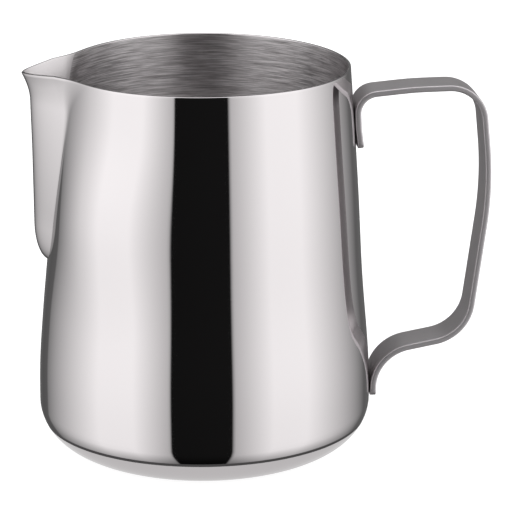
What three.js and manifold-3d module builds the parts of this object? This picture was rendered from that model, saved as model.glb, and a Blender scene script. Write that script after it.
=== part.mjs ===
// Milk frothing pitcher: a deep drawn stainless cup, a pouring spout welded into a V-shaped
// cut-out in its wall, and a bent flat-bar handle held to the wall by spot welds.
// Millimetres, +Z up. The origin is on the cup's axis, at the base. The spout points to -X
// and the handle to +X.
import * as THREE from 'three';
import { ParametricGeometry } from 'three/addons/geometries/ParametricGeometry.js';
import { mergeVertices } from 'three/addons/utils/BufferGeometryUtils.js';
import Module from 'manifold-3d';

// Cup
const HEIGHT = 116.5;
const SHEET = 0.8;
const RIM_RADIUS = 44.05;
const BELLY_RADIUS = 50.8;
const BASE_CORNER = 13;
const CORNER_STEPS = 7;
const WALL_STEPS = 9;
const CUP_SEGMENTS = 72;
// How far the volume the cup encloses is carried above the rim.
const CONTENTS_HEADROOM = 5;
// The drawn wall's outside between belly and rim: [radius, height].
const WALL_STATIONS = [
  [BELLY_RADIUS, BASE_CORNER],
  [50.65, 21.8],
  [50.2, 31.4],
  [48.8, 44.6],
  [47.46, 62.6],
  [46.03, 86.6],
  [RIM_RADIUS, HEIGHT],
];

// Spout: level sections of a rounded V, from below the chin to above the lip.
// [height, distance of the front line from the axis, flank spread, half width at the seam]
const SPOUT_STATIONS = [
  [56.5, 45.6, 0.8, 2.2],
  [57.6, 46.6, 0.8, 2.8],
  [58.6, 48.3, 0.8, 3.4],
  [60.2, 49.4, 0.8, 4.8],
  [63.2, 50.4, 0.78, 6.8],
  [67.5, 50.9, 0.76, 8.3],
  [77, 51, 0.65, 11.8],
  [86, 51.05, 0.63, 14.3],
  [95, 51.1, 0.62, 16.9],
  [104, 51.15, 0.67, 17.2],
  [109, 51.4, 0.71, 17.4],
  [112, 52, 0.75, 17.8],
  [115, 53.4, 0.86, 18.6],
  [117.5, 54.7, 0.97, 19.4],
];
const NOSE_ROUNDING = 3;
const FLANK_LAP = 0.6;
const FLANK_STEPS = 12;
const SPOUT_BACK = -33;
// Where the end faces of the spout's block fan out from, and how much wider its hollow is.
const SPOUT_CENTRE = -36;
const HOLLOW_WIDENING = 1.6;
const LIP_DIP_START = -45;
const LIP_DIP_SLOPE = 0.13;
const SEAM_GAP = 0.35;
// The block that trims the lip: its edge length, and how far its middle stands out from the pivot.
const TRIM_SIZE = 80;
const TRIM_OVERHANG = 20;

// Handle: one flat bar. Bend points of its centre line: [x, z, bend radius].
const BAR_WIDTH = 12.5;
const BAR_THICKNESS = 1.8;
const EDGE_ROUNDING = 0.35;
const BEND_STEP = THREE.MathUtils.degToRad(9);
const BAR_BENDS = [
  [47.35, 90.9, 0],
  [46.5, 97.3, 14],
  [45.95, 107, 6],
  [63, 108.5, 110],
  [83, 108.95, 10.8],
  [86.78, 77.8, 110],
  [80.6, 31.4, 13.5],
  [52, 26, 13.2],
  [52, 11.9, 0],
];

// Spot welds between bar and wall, in two pairs.
const WELD_RADIUS = 1.2;
const WELD_THICKNESS = 0.16;
const WELD_SIDES = 16;
const WELD_GAP = 0.15;
const WELDS = { weld_upper_top: 101.3, weld_upper_low: 98.6, weld_lower_top: 15.6, weld_lower_low: 12.9 };

// Points closer together than this are one point.
const MERGE_DISTANCE = 1e-4;

const polishedSteel = new THREE.MeshStandardMaterial({ color: 0xd2cfd0, roughness: 0.08, metalness: 1 });
const satinSteel = new THREE.MeshStandardMaterial({ color: 0xa8a4a6, roughness: 0.4, metalness: 1 });
const weldSteel = new THREE.MeshStandardMaterial({ color: 0x8d898a, roughness: 0.6, metalness: 1 });

const wasm = await Module();
wasm.setup();

function toSolid(geometry) {
  const bare = geometry.clone();
  bare.deleteAttribute('normal');
  bare.deleteAttribute('uv');
  const merged = mergeVertices(bare, MERGE_DISTANCE);
  const vertProperties = new Float32Array(merged.attributes.position.array);
  const triVerts = new Uint32Array(merged.index.array);
  return new wasm.Manifold(new wasm.Mesh({ numProp: 3, vertProperties, triVerts }));
}

function toGeometry(solid) {
  const { vertProperties, triVerts } = solid.getMesh();
  const geometry = new THREE.BufferGeometry();
  geometry.setAttribute('position', new THREE.BufferAttribute(vertProperties, 3));
  geometry.setIndex(new THREE.BufferAttribute(triVerts, 1));
  geometry.computeVertexNormals();
  return geometry;
}

// The cup's outside, or the same line moved inwards by the sheet's thickness: base, corner, wall.
function cupLine(inset) {
  const line = [];
  const cornerRadius = BASE_CORNER - inset;
  for (let i = 0; i < CORNER_STEPS; i++) {
    const angle = (i / CORNER_STEPS) * Math.PI / 2;
    const radius = BELLY_RADIUS - BASE_CORNER + cornerRadius * Math.sin(angle);
    line.push(new THREE.Vector2(radius, BASE_CORNER - cornerRadius * Math.cos(angle)));
  }
  const stations = WALL_STATIONS.map(([radius, z]) => new THREE.Vector2(radius - inset, z));
  return [...line, ...new THREE.SplineCurve(stations).getPoints(WALL_STEPS)];
}

function latheAboutZ(points) {
  return toSolid(new THREE.LatheGeometry(points, CUP_SEGMENTS).rotateX(Math.PI / 2));
}

// The wall's outside radius at a height, read along the same spline as the lathe's profile.
function wallRadius(z) {
  const line = cupLine(0);
  const upper = line.findIndex((point) => point.y >= z);
  const [low, high] = [line[upper - 1], line[upper]];
  return THREE.MathUtils.mapLinear(z, low.y, high.y, low.x, high.x);
}

function makeCupWall() {
  const outside = cupLine(0);
  const inside = cupLine(SHEET).reverse();
  const axisBottom = new THREE.Vector2(0, 0);
  const axisTop = new THREE.Vector2(0, SHEET);
  return latheAboutZ([axisBottom, ...outside, ...inside, axisTop]);
}

function makeCupContents() {
  const inside = cupLine(SHEET);
  const top = HEIGHT + CONTENTS_HEADROOM;
  const above = new THREE.Vector2(RIM_RADIUS - SHEET, top);
  return latheAboutZ([new THREE.Vector2(0, SHEET), ...inside, above, new THREE.Vector2(0, top)]);
}

// One level section of the spout: a hyperbola, which is a V with a round nose, closed across the back.
function spoutSection([z, front, spread, seam], widen) {
  const reach = seam + FLANK_LAP + widen;
  const section = [];
  for (let i = 0; i <= FLANK_STEPS; i++) {
    const side = 1 - (2 * i) / FLANK_STEPS;
    const y = reach * side;
    const fall = spread * (Math.hypot(y, NOSE_ROUNDING) - NOSE_ROUNDING);
    section.push(new THREE.Vector3(fall - front, y, z));
  }
  section.push(new THREE.Vector3(SPOUT_BACK, -reach, z), new THREE.Vector3(SPOUT_BACK, reach, z));
  return section;
}

// The sections joined into one closed solid, moved back and up, and widened each side.
function makeSpoutBlock(back, up, widen) {
  const sections = SPOUT_STATIONS.map((station) => spoutSection(station, widen));
  const bottom = sections[0].map(({ z }) => new THREE.Vector3(SPOUT_CENTRE, 0, z));
  const top = sections[sections.length - 1].map(({ z }) => new THREE.Vector3(SPOUT_CENTRE, 0, z));
  const rows = [bottom, ...sections, top];
  const around = sections[0].length;
  const surface = (u, v, target) => {
    const row = rows[Math.round(v * (rows.length - 1))];
    target.copy(row[Math.round(u * around) % around]);
  };
  const geometry = new ParametricGeometry(surface, around, rows.length - 1);
  return toSolid(geometry.translate(back, 0, up));
}

// Everything above the spout's lip, which dips towards its tip.
function makeLipCutter() {
  const half = TRIM_SIZE / 2;
  const box = new THREE.BoxGeometry(TRIM_SIZE, TRIM_SIZE, TRIM_SIZE).translate(-TRIM_OVERHANG, 0, half);
  box.rotateY(-Math.atan(LIP_DIP_SLOPE)).translate(LIP_DIP_START, 0, HEIGHT);
  const above = new THREE.BoxGeometry(TRIM_SIZE, TRIM_SIZE, TRIM_SIZE);
  above.translate(LIP_DIP_START + half, 0, HEIGHT + half);
  return toSolid(box).add(toSolid(above));
}

function makeBody() {
  return toGeometry(makeCupWall().subtract(makeSpoutBlock(-SEAM_GAP, -SEAM_GAP, SEAM_GAP)));
}

function makeSpout() {
  const shell = makeSpoutBlock(0, 0, 0).subtract(makeSpoutBlock(SHEET, SHEET, HOLLOW_WIDENING));
  return toGeometry(shell.subtract(makeCupContents()).subtract(makeLipCutter()));
}

// Points and sideways directions along the bar's centre line, with an arc at each bend.
function barCentreLine() {
  const corners = BAR_BENDS.map(([x, z]) => new THREE.Vector2(x, z));
  const line = [];
  BAR_BENDS.forEach(([, , bend], i) => {
    const here = corners[i];
    const back = i > 0 ? corners[i - 1].clone().sub(here).normalize() : null;
    const ahead = i < corners.length - 1 ? corners[i + 1].clone().sub(here).normalize() : null;
    if (!back || !ahead) {
      const along = ahead ?? back.clone().negate();
      line.push({ point: here, side: new THREE.Vector2(-along.y, along.x) });
      return;
    }
    const turn = Math.PI - back.angleTo(ahead);
    const hand = Math.sign(back.cross(ahead));
    const start = here.clone().addScaledVector(back, bend * Math.tan(turn / 2));
    const startSide = new THREE.Vector2(back.y, -back.x);
    const centre = start.clone().addScaledVector(startSide, -hand * bend);
    const steps = Math.ceil(turn / BEND_STEP) + 1;
    for (let k = 0; k <= steps; k++) {
      const side = startSide.clone().rotateAround(new THREE.Vector2(), -hand * turn * (k / steps));
      line.push({ point: centre.clone().addScaledVector(side, hand * bend), side });
    }
  });
  return line;
}

function makeHandle() {
  const line = barCentreLine();
  const half = BAR_THICKNESS / 2 - EDGE_ROUNDING;
  const faceA = line.map(({ point, side }) => point.clone().addScaledVector(side, half));
  const faceB = line.map(({ point, side }) => point.clone().addScaledVector(side, -half)).reverse();
  const outline = new THREE.Shape([...faceA, ...faceB]);
  const bar = new THREE.ExtrudeGeometry(outline, {
    depth: BAR_WIDTH - 2 * EDGE_ROUNDING,
    bevelThickness: EDGE_ROUNDING,
    bevelSize: EDGE_ROUNDING,
    bevelSegments: 2,
  });
  return bar.rotateX(Math.PI / 2).translate(0, BAR_WIDTH / 2 - EDGE_ROUNDING, 0);
}

function makeWeld(z) {
  const lean = wallRadius(z - WELD_RADIUS) - wallRadius(z + WELD_RADIUS);
  const disc = new THREE.CylinderGeometry(WELD_RADIUS, WELD_RADIUS, WELD_THICKNESS, WELD_SIDES);
  disc.rotateZ(-Math.PI / 2);
  const weld = new THREE.Mesh(disc, weldSteel);
  weld.rotation.y = -Math.atan2(lean, 2 * WELD_RADIUS);
  weld.position.set(wallRadius(z) + WELD_GAP, 0, z);
  return weld;
}

function addPart(group, name, mesh) {
  mesh.name = name;
  group.add(mesh);
}

const pitcher = new THREE.Group();
addPart(pitcher, 'body_shell', new THREE.Mesh(makeBody(), polishedSteel));
addPart(pitcher, 'spout', new THREE.Mesh(makeSpout(), polishedSteel));
addPart(pitcher, 'handle_strap', new THREE.Mesh(makeHandle(), satinSteel));
for (const [name, z] of Object.entries(WELDS)) {
  addPart(pitcher, name, makeWeld(z));
}

export default pitcher;
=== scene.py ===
import math

import bmesh
import bpy
import numpy as np
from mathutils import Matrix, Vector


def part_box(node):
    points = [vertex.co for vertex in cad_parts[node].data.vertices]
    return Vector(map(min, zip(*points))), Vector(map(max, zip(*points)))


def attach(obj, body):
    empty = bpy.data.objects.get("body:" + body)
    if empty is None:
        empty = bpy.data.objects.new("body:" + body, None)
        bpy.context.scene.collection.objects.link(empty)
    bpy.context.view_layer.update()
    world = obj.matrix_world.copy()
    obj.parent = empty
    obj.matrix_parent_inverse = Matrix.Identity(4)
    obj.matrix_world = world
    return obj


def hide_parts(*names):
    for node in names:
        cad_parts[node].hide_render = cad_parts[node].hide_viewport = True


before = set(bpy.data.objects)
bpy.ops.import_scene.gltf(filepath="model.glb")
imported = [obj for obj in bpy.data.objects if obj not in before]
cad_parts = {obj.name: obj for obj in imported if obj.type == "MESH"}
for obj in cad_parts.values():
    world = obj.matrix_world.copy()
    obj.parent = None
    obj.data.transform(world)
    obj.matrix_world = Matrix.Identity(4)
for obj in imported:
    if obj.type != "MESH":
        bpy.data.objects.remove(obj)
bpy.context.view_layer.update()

# ---------------------------------------------------------------------------------------------
# Cup. Base and wall are deep drawn in one from stainless sheet, the rim trimmed plain.
# Outside it is buffed to a mirror on the lathe; inside it keeps the rings of the abrasive belt.
# ---------------------------------------------------------------------------------------------
MM = 0.001
CUP_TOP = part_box("body_shell")[1].z / MM
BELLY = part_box("body_shell")[1].y / MM
SHEET = 0.8
BASE_CORNER = 13.0
TAPER = 0.073
TAPER_START = 24.0
TAPER_EASE = 4.0
FLANK_HOLLOW = 0.5
FLANK_HOLLOW_AT = 52.0
FLANK_HOLLOW_REACH = 20.0
RIM_ROUND = 0.24

# Making the spout moves the wall beside it: how far in at the rim, and the depth of dip and swell.
# Pairs are where a change starts and ends, in degrees from the spout's front line or in height.
RIM_DENT = 1.9
RIM_DENT_ANGLES = (80, 25)
RIM_DENT_HEIGHTS = (70, 112)
FLANK_DIP = 2.0
DIP_RISE_ANGLES = (4, 38)
SWELL_FALL_ANGLES = (40, 76)
DIP_HEIGHTS = (42, 78)
DIP_EASING_HEIGHTS = (80, 106)
DIP_EASING = 0.6

# The spout's front line, and the V of its level sections: spread is how far the V falls back per
# millimetre to the side, nose the rounding at its point.
SPOUT_FRONT = 51.05
SPOUT_LEAN = 0.2
SPOUT_LEAN_HEIGHTS = (90, 108)
CHIN_LOW = 57.9
CHIN_TOP = 69.0
CHIN_DEPTH = 4.0
LIP_START = 107.0
LIP_FLARE = 37
LIP_HEIGHT = 8.5
SPREAD = 0.76
CHIN_SPREAD = 0.085
CHIN_SPREAD_HEIGHTS = (78, 64)
OPENING_SPREAD = 0.3
OPENING_HEIGHTS = (74, 128)
LIP_SPREAD = 0.03
NOSE = 4
LIP_NOSE = 1
LIP_NOSE_HEIGHTS = (106, 118)

# The valley between spout and wall: its filling low down, and what is added higher up.
VALLEY_FILL = 0.1
UPPER_FILL = 0.45
UPPER_FILL_HEIGHTS = (88, 108)
RIM_FILL = 1.6
RIM_FILL_HEIGHTS = (104, 118)
SPOUT_REACH = 0.75
WIDEST_SEAM = 0.62

RIM_WAVE = 0.45
RIM_WAVE_FROM = 100
LIP_DIP = 0.125
LIP_DIP_FROM = 44.5


def ease(value, low, high):
    """Smooth step: 0 at low, 1 at high, and 3t^2 - 2t^3 of the way t between them. It also runs
    downwards, where low is the larger of the two."""
    t = np.clip((value - low) / (high - low), 0, 1)
    return t * t * (3 - 2 * t)


def wall_radius(z):
    """Outside radius of the plain wall: the belly's, less a lean that starts softly (a softplus ramp),
    less a shallow bell-shaped hollow above the belly."""
    lean = TAPER * TAPER_EASE * np.log1p(np.exp((z - TAPER_START) / TAPER_EASE))
    hollow = FLANK_HOLLOW * np.exp(-(((z - FLANK_HOLLOW_AT) / FLANK_HOLLOW_REACH) ** 2))
    return BELLY - lean - hollow


def wall_near_spout(angle, z):
    """The plain wall as the making of the spout leaves it. Towards the rim it is drawn in by a smooth
    step over angle. Beside the flanks it dips, and swells a little just before that."""
    away = np.degrees(np.abs(angle))
    rim = RIM_DENT * ease(away, *RIM_DENT_ANGLES) * ease(z, *RIM_DENT_HEIGHTS)
    dip = ease(away, *DIP_RISE_ANGLES) - 0.5 - 0.5 * ease(away, *SWELL_FALL_ANGLES)
    share = ease(z, *DIP_HEIGHTS) * (1 - DIP_EASING * ease(z, *DIP_EASING_HEIGHTS))
    return wall_radius(z) - rim + FLANK_DIP * dip * share


def spout_front(z):
    """Distance of the spout's front line from the axis: all but plumb, rounded in at the chin by a
    quarter ellipse, and flared at the lip by a parabola."""
    t = np.clip((CHIN_TOP - z) / (CHIN_TOP - CHIN_LOW), 0, 1)
    chin = CHIN_DEPTH * (1 - np.sqrt(1 - t * t))
    lean = SPOUT_LEAN * ease(z, *SPOUT_LEAN_HEIGHTS)
    return SPOUT_FRONT - chin + lean + np.clip(z - LIP_START, 0, None) ** 2 / LIP_FLARE


def spout_radius(angle, z):
    """Distance from the axis to the spout, along a level ray at an angle from its front line.
    A level section is a hyperbola (a V with a round nose), and the ray meets it at the smaller
    root of a quadratic, in the form that stays good where the squared term goes to nothing."""
    spread = SPREAD + CHIN_SPREAD * ease(z, *CHIN_SPREAD_HEIGHTS) + OPENING_SPREAD * ease(z, *OPENING_HEIGHTS)
    spread = spread + LIP_SPREAD * (np.clip(z - LIP_START, 0, None) / LIP_HEIGHT) ** 2
    nose = NOSE + LIP_NOSE * ease(z, *LIP_NOSE_HEIGHTS)
    reach = spout_front(z) + spread * nose
    c, s = np.cos(angle), np.sin(angle)
    a = c * c - (spread * s) ** 2
    b = reach * c
    k = reach**2 - (spread * nose) ** 2
    return k / (b + np.sqrt(b * b - a * k))


def shell_radius(angle, z):
    """Wall and spout in one: the larger of the two radii, with the valley between them filled by a
    parabola wherever they differ by less than the fill. It is wide at the rim and tight lower down.
    The angle is first brought to within half a turn of the spout, so that both sides are alike."""
    angle = (angle + math.pi) % (2 * math.pi) - math.pi
    fill = VALLEY_FILL + UPPER_FILL * ease(z, *UPPER_FILL_HEIGHTS) + RIM_FILL * ease(z, *RIM_FILL_HEIGHTS)
    wall = wall_near_spout(angle, z)
    near = np.clip(angle, -SPOUT_REACH, SPOUT_REACH)
    spout = np.where(np.abs(angle) < SPOUT_REACH, spout_radius(near, z), 0)
    share = np.clip(0.5 + (spout - wall) / (2 * fill), 0, 1)
    return wall + (spout - wall) * share + fill * share * (1 - share)


def shell_point(angle, run):
    """A point of the outside. run is 0 to 1 across the flat base, 1 to 2 round the corner, and from
    2 on it is 2 plus the height above the corner. The rim rises a little at both sides (sine squared),
    and the lip dips in proportion to how far it stands out."""
    turn = np.clip(run - 1, 0, 1) * math.pi / 2
    flat = BELLY - BASE_CORNER
    low_radius = np.where(run < 1, flat * run, flat + BASE_CORNER * np.sin(turn))
    low_z = BASE_CORNER * (1 - np.cos(turn))
    z = np.clip(BASE_CORNER + run - 2, BASE_CORNER, None)
    lip = shell_radius(angle, CUP_TOP + 0 * angle) * np.cos(angle)
    wave = RIM_WAVE * np.sin(angle) ** 2 - LIP_DIP * np.clip(lip - LIP_DIP_FROM, 0, None)
    radius = np.where(run < 2, low_radius, shell_radius(angle, z))
    height = np.where(run < 2, low_z, z + wave * ease(z, RIM_WAVE_FROM, CUP_TOP))
    return np.stack([-radius * np.cos(angle), radius * np.sin(angle), height], -1)


def shell_normal(angle, run):
    """Outward normal: the cross product of the two small steps along the surface, made unit length."""
    step = 1e-4
    around = shell_point(angle + step, run) - shell_point(angle - step, run)
    along = shell_point(angle, run + step) - shell_point(angle, np.clip(run - step, 0, None))
    normal = np.cross(along, around)
    length = np.linalg.norm(normal, axis=-1, keepdims=True)
    return np.where(length > 1e-12, normal / np.maximum(length, 1e-12), np.array([0, 0, -1.0]))


def bisect(inside, low, high):
    """Where the test turns from true to false between low and high, by halving the interval."""
    for _ in range(50):
        middle = (low + high) / 2
        keep = inside(middle)
        low, high = np.where(keep, middle, low), np.where(keep, high, middle)
    return (low + high) / 2


def seam_angle(z):
    """Half angle of the cut-out: where spout and wall meet, nothing below the chin."""
    z = np.asarray(z, float)
    found = bisect(lambda a: spout_radius(a, z) > wall_near_spout(a, z), 0 * z, 0 * z + WIDEST_SEAM)
    return np.where(z > CHIN, found, 0)


CHIN = float(bisect(lambda z: spout_front(z) < wall_near_spout(0, z), np.float64(56), np.float64(62)))


def steps(*stretches):
    """Joins stretches of even steps, each given as (start, end, count), into one rising row."""
    parts = [np.linspace(a, b, n, endpoint=False) for a, b, n in stretches]
    return np.concatenate([*parts, [stretches[-1][1]]])


# The UV map is laid out in millimetres, with the cup's middling radius for its whole girth, and
# base and corner counted as equally long.
UV_RADIUS = 45
LOW_RUN_LENGTH = 20
BEAD_STEPS = 8


def shell_grid(columns, heights, low_runs):
    """Rows of the closed shell for a piece: outside upwards, over the round rim, inside downwards.
    columns gives a row's angles for its seam. Returns points, and UVs of one for each 100 mm."""
    angle_rows, run_rows = [], []
    for run in low_runs:
        angle_rows.append(columns(0.0))
        run_rows.append(run)
    for z in heights:
        angle_rows.append(columns(float(seam_angle(z))))
        run_rows.append(2 + z - BASE_CORNER)
    angle = np.array(angle_rows)
    run = np.array(run_rows)[:, None] + 0 * angle
    outside = shell_point(angle, run)
    normal = shell_normal(angle, run)
    inside = outside - SHEET * normal
    bead = []
    for turn in np.linspace(0, math.pi, BEAD_STEPS)[1:-1]:
        across = normal[-1] * SHEET * (1 - math.cos(turn)) / 2
        bead.append(outside[-1] - across + [0, 0, RIM_ROUND * math.sin(turn)])
    points = np.concatenate([outside, np.array(bead), inside[::-1]])
    height = np.where(run < 2, run * LOW_RUN_LENGTH, run - 2 + 2 * LOW_RUN_LENGTH)
    v = np.concatenate([height, np.repeat(height[-1:], len(bead), 0), height[::-1]])
    u = np.concatenate([angle, np.repeat(angle[-1:], len(bead), 0), angle[::-1]]) * UV_RADIUS
    return points, np.stack([u, v], -1) / 100


def grid_faces(rows, width):
    """Quads between neighbouring rows and columns of a grid whose points are numbered row by row."""
    corner = np.arange((rows - 1) * width).reshape(rows - 1, width)[:, :-1].ravel()
    return np.stack([corner, corner + 1, corner + width + 1, corner + width], -1)


def make_piece(name, points, faces, slots, uv, materials, sharp=40):
    """Builds a mesh object from points in millimetres, merges coincident points, turns its faces
    outwards and marks edges sharper than an angle."""
    mesh = bpy.data.meshes.new(name)
    mesh.from_pydata(points.reshape(-1, 3) * MM, [], faces)
    for material in materials:
        mesh.materials.append(material)
    mesh.polygons.foreach_set("material_index", np.array(slots, np.int32))
    corners = np.zeros(len(mesh.loops), np.int32)
    mesh.loops.foreach_get("vertex_index", corners)
    layer = mesh.uv_layers.new(name="surface")
    layer.data.foreach_set("uv", uv.reshape(-1, 2)[corners].astype(np.float32).ravel())
    work = bmesh.new()
    work.from_mesh(mesh)
    bmesh.ops.remove_doubles(work, verts=work.verts, dist=2e-7)
    bmesh.ops.dissolve_degenerate(work, edges=work.edges, dist=1e-8)
    bmesh.ops.recalc_face_normals(work, faces=work.faces)
    work.to_mesh(mesh)
    work.free()
    mesh.shade_smooth()
    mesh.set_sharp_from_angle(angle=math.radians(sharp))
    piece = bpy.data.objects.new(name, mesh)
    bpy.context.scene.collection.objects.link(piece)
    return piece


def shell_piece(name, columns, heights, low_runs, materials):
    """A closed sheet-metal shell. Slot 0 is the outside and the rim, slot 1 the inside and cut edges."""
    points, uv = shell_grid(columns, heights, low_runs)
    rows, width = points.shape[:2]
    faces = grid_faces(rows, width).tolist()
    outer_rows = len(low_runs) + len(heights)
    first_inner = (rows - outer_rows) * (width - 1)
    slots = [0] * first_inner + [1] * (len(faces) - first_inner)
    first_open = len(low_runs) + int(np.searchsorted(heights, CHIN - 1e-6))
    for column in (0, width - 1):
        for row in range(first_open, outer_rows - 1):
            mirror = rows - 1 - row
            faces.append([row * width + column, (row + 1) * width + column,
                          (mirror - 1) * width + column, mirror * width + column])
            slots.append(1)
        faces.append([row * width + column for row in range(outer_rows - 1, rows - outer_rows + 1)])
        slots.append(0)
    return make_piece(name, points, faces, slots, uv, materials)


def linear(code):
    """An sRGB hex colour as linear RGBA, by the standard's two-part curve."""
    values = [int(code[i:i + 2], 16) / 255 for i in (1, 3, 5)]
    return (*[v / 12.92 if v <= 0.04045 else ((v + 0.055) / 1.055) ** 2.4 for v in values], 1.0)


def add_node(tree, kind, settings=None, inputs=None):
    """Adds a node with its settings, and sets or links its inputs."""
    node = tree.nodes.new(kind)
    for name, value in (settings or {}).items():
        setattr(node, name, value)
    for name, value in (inputs or {}).items():
        if isinstance(value, bpy.types.NodeSocket):
            tree.links.new(value, node.inputs[name])
        else:
            node.inputs[name].default_value = value
    return node


def new_material(name):
    """A material with an empty node tree and its output node."""
    material = bpy.data.materials.new(name)
    material.use_nodes = True
    material.node_tree.nodes.clear()
    return material, material.node_tree, add_node(material.node_tree, "ShaderNodeOutputMaterial")


def ring_noise(tree, length, width, detail):
    """Noise drawn out round the axis: length and width are a mark's size in millimetres. It reads the
    object's X and Y, and the UV map's V, which is the distance along the profile."""
    place = add_node(tree, "ShaderNodeTexCoord")
    flat = add_node(tree, "ShaderNodeSeparateXYZ", inputs={"Vector": place.outputs["Object"]})
    surface = add_node(tree, "ShaderNodeSeparateXYZ", inputs={"Vector": place.outputs["UV"]})
    times = {"operation": "MULTIPLY"}
    x = add_node(tree, "ShaderNodeMath", times, {0: flat.outputs["X"], 1: 1 / (length * MM)})
    y = add_node(tree, "ShaderNodeMath", times, {0: flat.outputs["Y"], 1: 1 / (length * MM)})
    z = add_node(tree, "ShaderNodeMath", times, {0: surface.outputs["Y"], 1: 100 / width})
    vector = add_node(tree, "ShaderNodeCombineXYZ", inputs={
        "X": x.outputs[0], "Y": y.outputs[0], "Z": z.outputs[0]})
    return add_node(tree, "ShaderNodeTexNoise", inputs={
        "Vector": vector.outputs[0], "Scale": 1.0, "Detail": detail, "Roughness": 0.6}).outputs["Fac"]


# Mirror-polished stainless: the last buffing wheel leaves a reflection that is sharp but for a
# trace of haze, with rings too faint to see one by one. Real rings are a few hundredths of a
# millimetre wide. These are drawn 0.5 mm wide.
mirror_steel, tree, output = new_material("mirror_polished_stainless")
rings = ring_noise(tree, 30, 0.5, 3)
haze = add_node(tree, "ShaderNodeMapRange", inputs={"Value": rings, "To Min": 0.02, "To Max": 0.055})
relief = add_node(tree, "ShaderNodeBump", inputs={"Height": rings, "Strength": 0.08, "Distance": 0.01 * MM})
steel = add_node(tree, "ShaderNodeBsdfPrincipled", inputs={
    "Base Color": linear("#CDC9CA"), "Metallic": 1.0, "Roughness": haze.outputs[0],
    "Normal": relief.outputs[0]})
tree.links.new(steel.outputs[0], output.inputs["Surface"])

# Belt-brushed stainless: fine rings round the axis spread each highlight up and down the wall.
# The marks of a 180 grit belt are under 0.1 mm wide. They are drawn 0.3 mm wide, so that they show.
brushed_steel, tree, output = new_material("ring_brushed_stainless")
rings = ring_noise(tree, 8, 0.3, 4)
rings = add_node(tree, "ShaderNodeMapRange", inputs={
    "Value": rings, "From Min": 0.34, "From Max": 0.66}).outputs[0]
tangent = add_node(tree, "ShaderNodeTangent", {"direction_type": "UV_MAP", "uv_map": "surface"})
tone = add_node(tree, "ShaderNodeMix", {"data_type": "RGBA"}, {
    "Factor": rings, 6: linear("#A9A5A6"), 7: linear("#EAE6E7")})
grain = add_node(tree, "ShaderNodeMapRange", inputs={"Value": rings, "To Min": 0.34, "To Max": 0.5})
relief = add_node(tree, "ShaderNodeBump", inputs={"Height": rings, "Strength": 0.5, "Distance": 0.02 * MM})
steel = add_node(tree, "ShaderNodeBsdfPrincipled", inputs={
    "Base Color": tone.outputs[2], "Metallic": 1.0, "Roughness": grain.outputs[0], "Anisotropic": 0.93,
    "Anisotropic Rotation": 0.25, "Tangent": tangent.outputs[0], "Normal": relief.outputs[0]})
tree.links.new(steel.outputs[0], output.inputs["Surface"])

RIM_BASE = CUP_TOP - RIM_ROUND
# Heights of the rows above the base corner, closest together at the chin and at the lip.
HEIGHTS = steps((BASE_CORNER, 55, 20), (55, CHIN, 8), (CHIN, CHIN + 0.5, 5), (CHIN + 0.5, 62, 12), (62, 70, 12),
                (70, 104, 26), (104, RIM_BASE, 22))[1:]


def cup_columns(seam):
    """Angles from one side of the cut-out round to the other, closer together beside the seam."""
    t = np.linspace(-1, 1, 301)
    spread = 0.55 * t + 0.45 * np.sin(t * math.pi / 2)
    return math.pi + (math.pi - seam) * spread


cup = shell_piece("cup", cup_columns, HEIGHTS, steps((0, 1, 6), (1, 2, 16)), [mirror_steel, brushed_steel])
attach(cup, "root")
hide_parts("body_shell")

# ---------------------------------------------------------------------------------------------
# Spout. A V pressed from the same sheet, set into the cut-out, welded along both flanks and
# polished flush, so that only the tight crease beside its chin still shows the joint.
# ---------------------------------------------------------------------------------------------


def spout_columns(seam):
    """Angles across the spout, from seam to seam."""
    return seam * np.linspace(-1, 1, 81)


# Hand-finished stainless: the V is too narrow for the belt, so its inside is rubbed to an even satin
# that catches the light from above. Its scratches are drawn 0.3 mm wide, coarser than real ones.
hand_steel, tree, output = new_material("hand_satin_stainless")
rings = ring_noise(tree, 8, 0.3, 4)
grain = add_node(tree, "ShaderNodeMapRange", inputs={"Value": rings, "To Min": 0.4, "To Max": 0.56})
steel = add_node(tree, "ShaderNodeBsdfPrincipled", inputs={
    "Base Color": linear("#E4E0E1"), "Metallic": 1.0, "Roughness": grain.outputs[0]})
tree.links.new(steel.outputs[0], output.inputs["Surface"])

spout_heights = HEIGHTS[HEIGHTS > CHIN - 1e-6]
spout = shell_piece("pouring_spout", spout_columns, spout_heights, [], [mirror_steel, hand_steel])
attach(spout, "root")
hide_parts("spout")

# ---------------------------------------------------------------------------------------------
# Handle. Flat stainless bar with rounded edges, linished along its length to a satin face, bent
# in one plane and pressed against the wall at both ends, where it is spot welded.
# ---------------------------------------------------------------------------------------------
BAR_HALF_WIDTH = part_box("handle_strap")[1].y / MM
BAR_HALF_THICKNESS = 0.9
BAR_GIRTH = 28.5
BAR_STEP = 0.9
BAR_EDGE = 0.42
EDGE_POINTS = 7
END_CORNER = 2.2
END_ROUND = 0.4
# Corners of the bar's centre line: distance from the cup's axis, height, and radius of the bend.
BAR_BENDS = [(47.1, 90.9, 0), (46.25, 97.3, 14), (45.75, 107.3, 6), (63, 108.9, 110), (83.4, 109.3, 10.8),
             (86.6, 78.5, 110), (80.6, 31.1, 13.5), (51.75, 25.7, 13.2), (51.75, 11.9, 0)]


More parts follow.
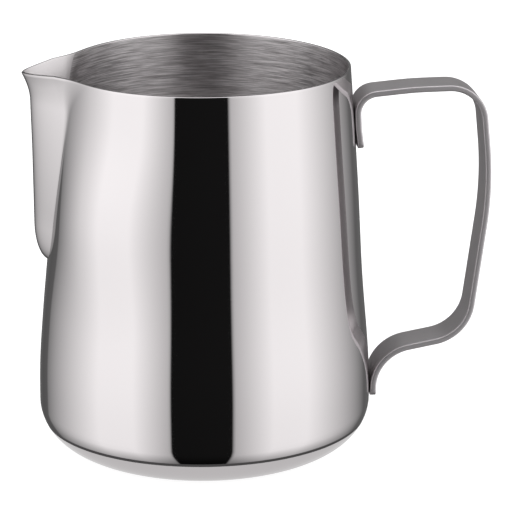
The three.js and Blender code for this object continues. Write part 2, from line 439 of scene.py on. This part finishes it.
def bent_line(bends, step):
    """Points and left-hand sides along straight lines joined by arcs. At each corner the arc touches
    both lines at its radius times the tangent of half the turn."""
    corner = np.array([b[:2] for b in bends], float)
    ahead = np.diff(corner, axis=0)
    length = np.linalg.norm(ahead, axis=1)
    ahead = ahead / length[:, None]
    sine = ahead[:-1, 0] * ahead[1:, 1] - ahead[:-1, 1] * ahead[1:, 0]
    turn = np.arctan2(sine, (ahead[:-1] * ahead[1:]).sum(1))
    radius = np.array([b[2] for b in bends[1:-1]], float)
    touch = np.concatenate([[0], radius * np.tan(np.abs(turn) / 2), [0]])
    points, headings = [], []
    heading = math.atan2(ahead[0, 1], ahead[0, 0])
    for i in range(len(ahead)):
        straight = length[i] - touch[i] - touch[i + 1]
        along = np.linspace(0, straight, max(2, int(straight / step) + 1)) + touch[i]
        points.append(corner[i] + along[:, None] * ahead[i])
        headings.append(np.full(len(along), heading))
        if i < len(turn):
            sweep = np.linspace(0, turn[i], max(4, int(abs(turn[i]) * radius[i] / step) + 2))[1:-1]
            hand = math.copysign(1, turn[i])
            start = corner[i + 1] - touch[i + 1] * ahead[i]
            centre = start + hand * radius[i] * np.array([-ahead[i, 1], ahead[i, 0]])
            angle = heading - hand * math.pi / 2 + sweep
            points.append(centre + radius[i] * np.stack([np.cos(angle), np.sin(angle)], -1))
            headings.append(heading + sweep)
            heading += turn[i]
    points, headings = np.concatenate(points), np.concatenate(headings)
    return points, np.stack([-np.sin(headings), np.cos(headings)], -1)


def bar_grid():
    """Sections of the bar along its bent line. A section is a rectangle with round corners. Near an
    end its width follows a quarter circle in plan, and all of it shrinks over the rounded end edge."""
    points, side = bent_line(BAR_BENDS, BAR_STEP)
    run = np.concatenate([[0], np.cumsum(np.linalg.norm(np.diff(points, axis=0), axis=1))])
    fine = END_CORNER * (1 - np.cos(np.linspace(0, math.pi / 2, 14)))
    middle = run[(run > END_CORNER) & (run < run[-1] - END_CORNER)]
    wanted = np.unique(np.concatenate([fine, middle, run[-1] - fine]))
    points = np.stack([np.interp(wanted, run, points[:, k]) for k in (0, 1)], -1)
    side = np.stack([np.interp(wanted, run, side[:, k]) for k in (0, 1)], -1)
    from_end = np.minimum(wanted, run[-1] - wanted)
    inset = END_ROUND - np.sqrt(END_ROUND**2 - np.clip(END_ROUND - from_end, 0, None) ** 2)
    plan = END_CORNER - np.sqrt(END_CORNER**2 - np.clip(END_CORNER - from_end, 0, None) ** 2)
    half_width = (BAR_HALF_WIDTH - inset - plan)[:, None]
    half_thick = (BAR_HALF_THICKNESS - inset)[:, None]
    edge = np.minimum(BAR_EDGE, half_thick - 0.02)
    turn = np.linspace(0, math.pi / 2, EDGE_POINTS)
    angle = np.concatenate([turn + k * math.pi / 2 for k in range(4)])
    across_sign = np.repeat([1, -1, -1, 1], EDGE_POINTS)
    up_sign = np.repeat([1, 1, -1, -1], EDGE_POINTS)
    across = across_sign * (half_width - edge) + edge * np.cos(angle)
    up = up_sign * (half_thick - edge) + edge * np.sin(angle)
    x = points[:, 0, None] + side[:, 0, None] * up
    z = points[:, 1, None] + side[:, 1, None] * up
    grid = np.stack([x, across, z], -1)
    ring = np.concatenate([[0], np.cumsum(np.linalg.norm(np.diff(grid[len(grid) // 2], axis=0), axis=1))])
    uv = np.stack([wanted[:, None] + 0 * across, ring[None] + 0 * across], -1) / 100
    return grid, uv


# Satin stainless bar: linished lengthwise, so its faces are a soft even grey with hair lines,
# drawn 0.16 mm wide where the real ones are under 0.1 mm.
satin_steel, tree, output = new_material("satin_linished_stainless")
place = add_node(tree, "ShaderNodeTexCoord")
stretch = add_node(tree, "ShaderNodeMapping", inputs={
    "Vector": place.outputs["UV"], "Scale": (100 / 9, 100 / 0.16, 1)})
lines = add_node(tree, "ShaderNodeTexNoise", inputs={
    "Vector": stretch.outputs[0], "Scale": 1.0, "Detail": 3.0, "Roughness": 0.6}).outputs["Fac"]
tangent = add_node(tree, "ShaderNodeTangent", {"direction_type": "UV_MAP", "uv_map": "surface"})
tone = add_node(tree, "ShaderNodeMix", {"data_type": "RGBA"}, {
    "Factor": lines, 6: linear("#CFCBCC"), 7: linear("#E3DFE1")})
grain = add_node(tree, "ShaderNodeMapRange", inputs={"Value": lines, "To Min": 0.34, "To Max": 0.46})
relief = add_node(tree, "ShaderNodeBump", inputs={"Height": lines, "Strength": 0.3, "Distance": 0.01 * MM})
steel = add_node(tree, "ShaderNodeBsdfPrincipled", inputs={
    "Base Color": tone.outputs[2], "Metallic": 1.0, "Roughness": grain.outputs[0], "Anisotropic": 0.2,
    "Anisotropic Rotation": 0.25, "Tangent": tangent.outputs[0], "Normal": relief.outputs[0]})
tree.links.new(steel.outputs[0], output.inputs["Surface"])

# The bar's edges were rounded in a tumbler, which leaves them an even grey with bright corners.
tumbled_steel, tree, output = new_material("tumbled_stainless_edge")
place = add_node(tree, "ShaderNodeTexCoord")
mottle = add_node(tree, "ShaderNodeTexNoise", inputs={
    "Vector": place.outputs["Object"], "Scale": 1 / (0.5 * MM)})
grain = add_node(tree, "ShaderNodeMapRange", inputs={
    "Value": mottle.outputs["Fac"], "To Min": 0.4, "To Max": 0.5})
steel = add_node(tree, "ShaderNodeBsdfPrincipled", inputs={
    "Base Color": linear("#C9C5C7"), "Metallic": 1.0, "Roughness": grain.outputs[0]})
tree.links.new(steel.outputs[0], output.inputs["Surface"])

points, uv = bar_grid()
rows, width = points.shape[:2]
closed = np.concatenate([points, points[:, :1]], 1)
closed_uv = np.concatenate([uv, uv[:, :1] + [0, BAR_GIRTH / 100]], 1)
faces = grid_faces(rows, width + 1).tolist()
faces.append(list(range(width)))
faces.append([(rows - 1) * (width + 1) + k for k in range(width)])
# The two broad faces lie between the first and second, and the third and fourth round edges.
on_edge = np.ones(width, int)
on_edge[[EDGE_POINTS - 1, 3 * EDGE_POINTS - 1]] = 0
slots = np.tile(on_edge, rows - 1).tolist() + [1, 1]
handle = make_piece("handle", closed, faces, slots, closed_uv, [satin_steel, tumbled_steel], sharp=50)
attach(handle, "root")
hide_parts("handle_strap")

# ---------------------------------------------------------------------------------------------
# Spot welds. Two under each end of the bar: the metal that fused between bar and wall, a flat
# lens with the dull grey of steel that has melted.
# ---------------------------------------------------------------------------------------------
WELDS = ["weld_upper_top", "weld_upper_low", "weld_lower_top", "weld_lower_low"]
LENS_BULGE = 0.1
LENS_STANDOFF = 0.02
LENS_ROWS = 13
LENS_COLUMNS = 33

# Fused stainless: rough and greyed by the heat.
fused_steel, tree, output = new_material("fused_stainless")
place = add_node(tree, "ShaderNodeTexCoord")
mottle = add_node(tree, "ShaderNodeTexNoise", inputs={
    "Vector": place.outputs["Object"], "Scale": 1 / (0.6 * MM)})
tone = add_node(tree, "ShaderNodeMix", {"data_type": "RGBA"}, {
    "Factor": mottle.outputs["Fac"], 6: linear("#6F6A68"), 7: linear("#9C9897")})
steel = add_node(tree, "ShaderNodeBsdfPrincipled", inputs={
    "Base Color": tone.outputs[2], "Metallic": 1.0, "Roughness": 0.5})
tree.links.new(steel.outputs[0], output.inputs["Surface"])


def weld_lens(name):
    """A lens in the middle of the weld's box: a ball pressed flat along X, on a grid of angles."""
    low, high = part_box(name)
    centre = (np.array(low) + np.array(high)) / 2 / MM
    lifts = np.linspace(-math.pi / 2, math.pi / 2, LENS_ROWS)
    lift, turn = np.meshgrid(lifts, np.linspace(0, 2 * math.pi, LENS_COLUMNS), indexing="ij")
    radius = (high.y - low.y) / 2 / MM
    centre[0] = float(wall_radius(centre[2])) + LENS_STANDOFF
    flat = radius * np.cos(lift)
    shape = [LENS_BULGE * np.sin(lift), flat * np.cos(turn), flat * np.sin(turn)]
    grid = centre + np.stack(shape, -1)
    uv = np.stack([turn, lift], -1)
    faces = grid_faces(LENS_ROWS, LENS_COLUMNS).tolist()
    lens = make_piece(name + "_lens", grid, faces, [0] * len(faces), uv, [fused_steel])
    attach(lens, "root")
    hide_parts(name)


for weld in WELDS:
    weld_lens(weld)

# ---------------------------------------------------------------------------------------------
# Studio. A plain pale floor under a soft tent: two broad side panels, a dark gap where the camera
# stands, dimmer cloth behind, and a soft light overhead.
# ---------------------------------------------------------------------------------------------
CAMERA_AZIMUTH = math.radians(-3.8)
# Bearing from the camera in degrees, and grey as the steel shows it. Each panel is evenly bright
# over its middle and fades in a straight line towards its outer edge.
TENT = [(-180, 90), (-153, 72), (-142, 80), (-140, 112), (-78, 232), (-50, 232), (-24, 172), (-23.3, 16),
        (19.2, 18), (19.9, 170), (48, 230), (75, 232), (147, 82), (180, 90)]
# Degrees above the horizon, and the share of the panels' light there.
FALL = [(-60, 0.2), (-30, 0.9), (-13, 1.0), (5, 1.12)]
STEEL_SHARE = 0.58
OVERHEAD = 1.5

world = bpy.data.worlds.new("studio_tent")
world.use_nodes = True
tree = world.node_tree
tree.nodes.clear()
output = add_node(tree, "ShaderNodeOutputWorld")
place = add_node(tree, "ShaderNodeTexCoord")
turned = add_node(tree, "ShaderNodeVectorRotate", {"rotation_type": "Z_AXIS"}, {
    "Vector": place.outputs["Generated"], "Angle": -CAMERA_AZIMUTH})
way = add_node(tree, "ShaderNodeSeparateXYZ", inputs={"Vector": turned.outputs[0]})
toward = add_node(tree, "ShaderNodeMath", {"operation": "MULTIPLY"}, {0: way.outputs["Y"], 1: -1.0})
bearing = add_node(tree, "ShaderNodeMath", {"operation": "ARCTAN2"}, {
    0: way.outputs["X"], 1: toward.outputs[0]})
height = add_node(tree, "ShaderNodeMath", {"operation": "ARCSINE"}, {0: way.outputs["Z"]})


def light_ramp(angle, low, high, levels):
    """A colour ramp over an angle in radians, from pairs of degrees and brightness."""
    share = add_node(tree, "ShaderNodeMapRange", inputs={
        "Value": angle, "From Min": math.radians(low), "From Max": math.radians(high)})
    ramp = add_node(tree, "ShaderNodeValToRGB", inputs={"Fac": share.outputs[0]})
    for index, (degrees, level) in enumerate(levels):
        position = (degrees - low) / (high - low)
        stop = ramp.color_ramp.elements[index] if index < 1 else ramp.color_ramp.elements.new(position)
        stop.position = position
        stop.color = (level, level, level, 1)
    ramp.color_ramp.elements.remove(ramp.color_ramp.elements[-1])
    return ramp.outputs["Color"]


panels = light_ramp(bearing.outputs[0], -180, 180, [
    (degrees, linear("#" + f"{grey:02X}" * 3)[0] / STEEL_SHARE) for degrees, grey in TENT[:-1]])
fall = light_ramp(height.outputs[0], -90, 90, FALL)
dimmed = add_node(tree, "ShaderNodeMix", {"data_type": "RGBA", "blend_type": "MULTIPLY"}, {
    0: 1.0, 6: panels, 7: fall})
high_up = add_node(tree, "ShaderNodeMapRange", {"interpolation_type": "SMOOTHSTEP"}, {
    "Value": way.outputs["Z"], "From Min": 0.7, "From Max": 0.97})
tent = add_node(tree, "ShaderNodeMix", {"data_type": "RGBA"}, {
    "Factor": high_up.outputs[0], 6: dimmed.outputs[2], 7: (OVERHEAD, OVERHEAD, OVERHEAD, 1)})
tent_light = add_node(tree, "ShaderNodeBackground", inputs={"Color": tent.outputs[2]})
backdrop = add_node(tree, "ShaderNodeBackground", inputs={"Color": (1, 1, 1, 1)})
seen = add_node(tree, "ShaderNodeLightPath")
mixed = add_node(tree, "ShaderNodeMixShader", inputs={
    0: seen.outputs["Is Camera Ray"], 1: tent_light.outputs[0], 2: backdrop.outputs[0]})
tree.links.new(mixed.outputs[0], output.inputs["Surface"])
bpy.context.scene.world = world

# Matt white card, lit from above and a little from below, as on a light table.
card, tree, output = new_material("matt_white_card")
paper = add_node(tree, "ShaderNodeBsdfDiffuse", inputs={"Color": (0.5, 0.5, 0.5, 1)})
glow = add_node(tree, "ShaderNodeEmission", inputs={"Color": (1, 1, 1, 1), "Strength": 0.8})
both = add_node(tree, "ShaderNodeAddShader", inputs={0: paper.outputs[0], 1: glow.outputs[0]})
tree.links.new(both.outputs[0], output.inputs["Surface"])


def flat_disc(name, radius, z, forward=0):
    """A level disc, as one ring of points, moved along Y."""
    angle = np.linspace(0, 2 * math.pi, 97)[:-1]
    points = np.stack([radius * np.cos(angle), forward + radius * np.sin(angle), 0 * angle + z], -1)
    mesh = bpy.data.meshes.new(name)
    mesh.from_pydata(points * MM, [], [list(range(len(angle)))])
    mesh.materials.append(card)
    disc = bpy.data.objects.new(name, mesh)
    bpy.context.scene.collection.objects.link(disc)
    return disc


FLOOR_RADIUS = 4000
floor = flat_disc("studio_floor", FLOOR_RADIUS, -0.05)
# The steel doesn't see this floor. Below the horizon it sees the tent's world light, and under the base the
# painted reflection discs.
floor.visible_glossy = False

# Seen only in the steel, a painted reflection: a bright glowing disc under the base in place of the lit floor
# there, and a dark glowing ring where it ends.
REFLECTED_DISCS = (("painted_reflection_bright_disc", 49.6, -0.03, 0.78), ("painted_reflection_dark_ring", 52.2, -0.04, 0.1))
DISC_FORWARD = -4.4
for name, radius, z, level in REFLECTED_DISCS:
    painted_reflection_material, tree, output = new_material(name)
    # Each disc glows at its level of painted reflection. It lights nothing, and only the steel shows it.
    glow = add_node(tree, "ShaderNodeEmission", inputs={"Color": (level, level, level, 1)})
    tree.links.new(glow.outputs[0], output.inputs["Surface"])
    disc = flat_disc(name, radius, z, DISC_FORWARD)
    disc.data.materials[0] = painted_reflection_material
    disc.visible_camera = False
    disc.visible_diffuse = False
    disc.visible_shadow = False

CAMERA_AT = (-45.6, -686.1, 270.0)
CAMERA_AIM = (15.8, -1.4, 57.0)
lens = bpy.data.cameras.new("camera")
lens.lens = 166.3
lens.sensor_width = 36
lens.clip_end = 20
camera = bpy.data.objects.new("camera", lens)
camera.location = [v * MM for v in CAMERA_AT]
aim = Vector(CAMERA_AIM) - Vector(CAMERA_AT)
camera.rotation_euler = aim.to_track_quat("-Z", "Y").to_euler()
bpy.context.scene.collection.objects.link(camera)
bpy.context.scene.camera = camera
bpy.context.scene.view_settings.view_transform = "Standard"
